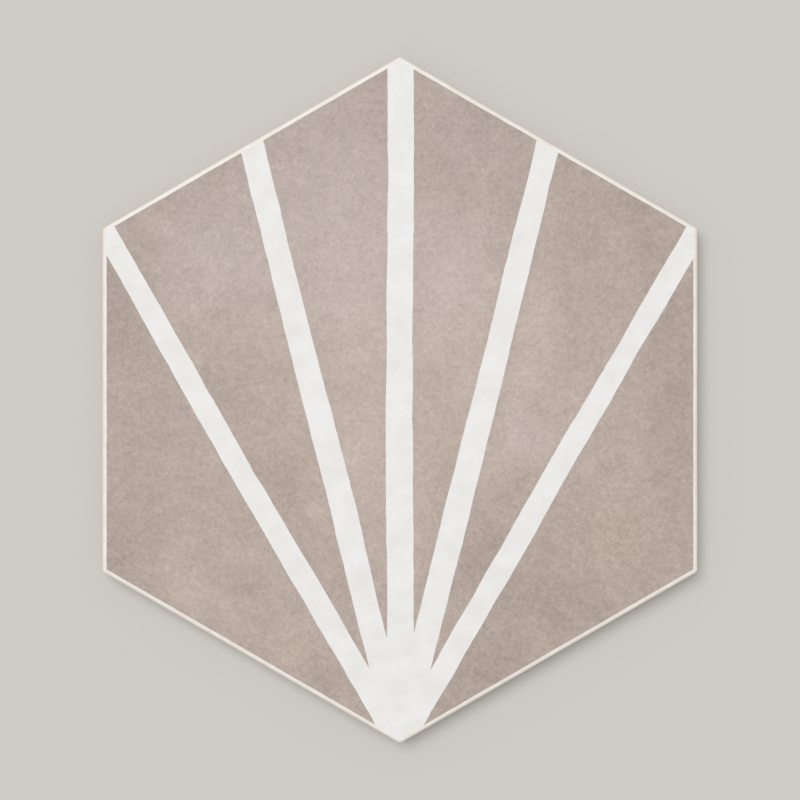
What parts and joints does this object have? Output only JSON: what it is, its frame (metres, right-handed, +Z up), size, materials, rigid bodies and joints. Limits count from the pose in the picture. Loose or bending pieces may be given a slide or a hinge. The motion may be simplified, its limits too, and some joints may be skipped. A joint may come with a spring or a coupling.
{
  "type": "hexagon porcelain tile",
  "caption": "Flat hexagonal glazed porcelain tile with a rounded face edge and a grooved back, for laying floors and walls; taupe face with white stripes fanning from one corner.",
  "frame": {"origin": "centre of the back, in the plane of its ribs", "axes": "+Z up through the glazed face; Y through two opposite corners, with the corner that the stripes fan from at -Y; X square to two straight sides"},
  "size_m": [0.198, 0.2282, 0.009],
  "materials": {
    "glazed_porcelain": "matte"
  },
  "bodies": {
    "root": {"hexagon_tile": "glazed_porcelain"}
  },
  "joints": []
}
